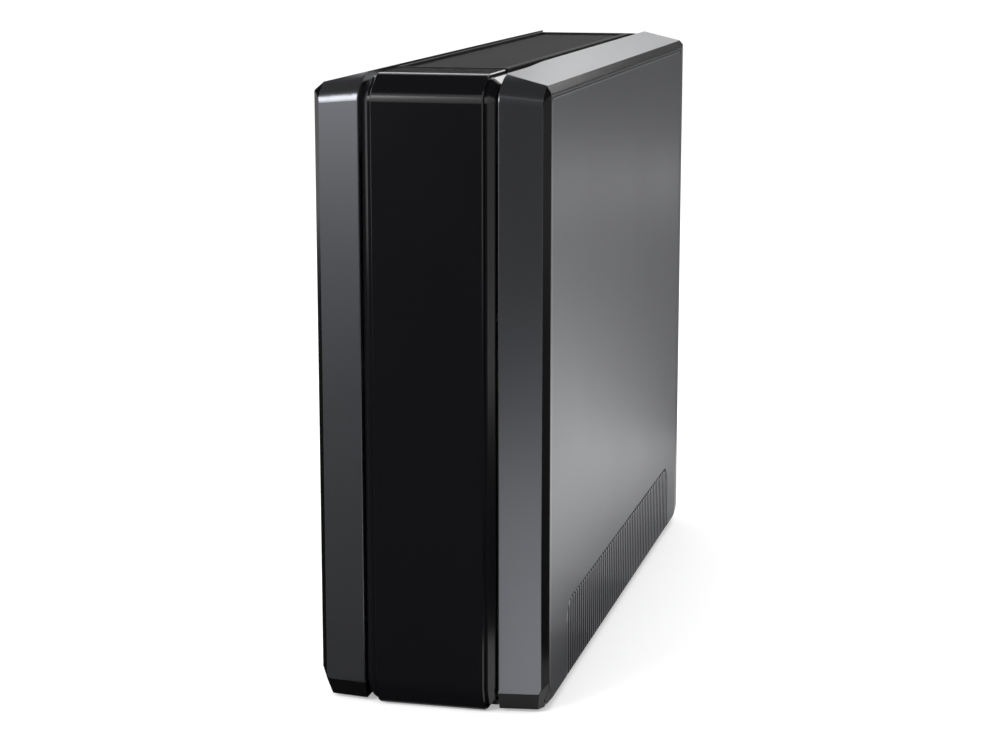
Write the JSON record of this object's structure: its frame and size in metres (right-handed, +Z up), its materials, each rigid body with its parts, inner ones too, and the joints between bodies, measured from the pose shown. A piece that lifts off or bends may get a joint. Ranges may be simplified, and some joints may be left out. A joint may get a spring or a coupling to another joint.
{
  "type": "ups battery pack",
  "caption": "Tall free-standing external battery pack for a small UPS, with a glossy front panel, ribbed top vents and a sliding side cover over two battery cartridges.",
  "frame": {"origin": "on the floor under the middle of the case", "axes": "+Z up, the glossy front panel faces -Y, the battery cover is on the +X side"},
  "size_m": [0.112, 0.382, 0.301],
  "materials": {
    "case_plastic": "fine grained satin",
    "panel_plastic": "polished",
    "vent_plastic": "fine grained",
    "cover_plastic": "fine grained satin",
    "inner_plastic": "moulded",
    "battery_plastic": "moulded",
    "foot_rubber": "matte",
    "contact_metal": "tinned",
    "screw_steel": "black zinc",
    "strap_plastic": "smooth",
    "red_lead": "satin",
    "black_lead": "satin",
    "fuse_plastic": "clear tinted",
    "pad_foam": "closed cell foam"
  },
  "bodies": {
    "case": {"left_shell": "case_plastic", "right_shell": "case_plastic", "front_panel": "panel_plastic", "top_vent_panel": "vent_plastic", "rear_panel": "vent_plastic", "base_plate": "vent_plastic", "rubber_feet": "foot_rubber", "battery_tray": "inner_plastic", "battery_front_lower": "battery_plastic", "battery_front_upper": "battery_plastic", "battery_rear_lower": "battery_plastic", "battery_rear_upper": "battery_plastic", "battery_terminals": "contact_metal", "cartridge_straps": "strap_plastic", "series_links": "black_lead", "positive_lead": "red_lead", "negative_lead": "black_lead", "terminal_boots": "inner_plastic", "fuse_holder": "inner_plastic", "blade_fuse": "fuse_plastic", "output_socket": "inner_plastic", "link_socket": "inner_plastic", "socket_contacts": "contact_metal", "rear_screws": "screw_steel", "base_screws": "screw_steel", "tray_screws": "screw_steel"},
    "cover": {"side_cover": "cover_plastic", "foam_pads": "pad_foam"}
  },
  "joints": [
    {"name": "cover_slide", "type": "slide", "parent": "case", "child": "cover", "axis": [0, 0, -1], "range_m": [0, 0.012]}
  ]
}
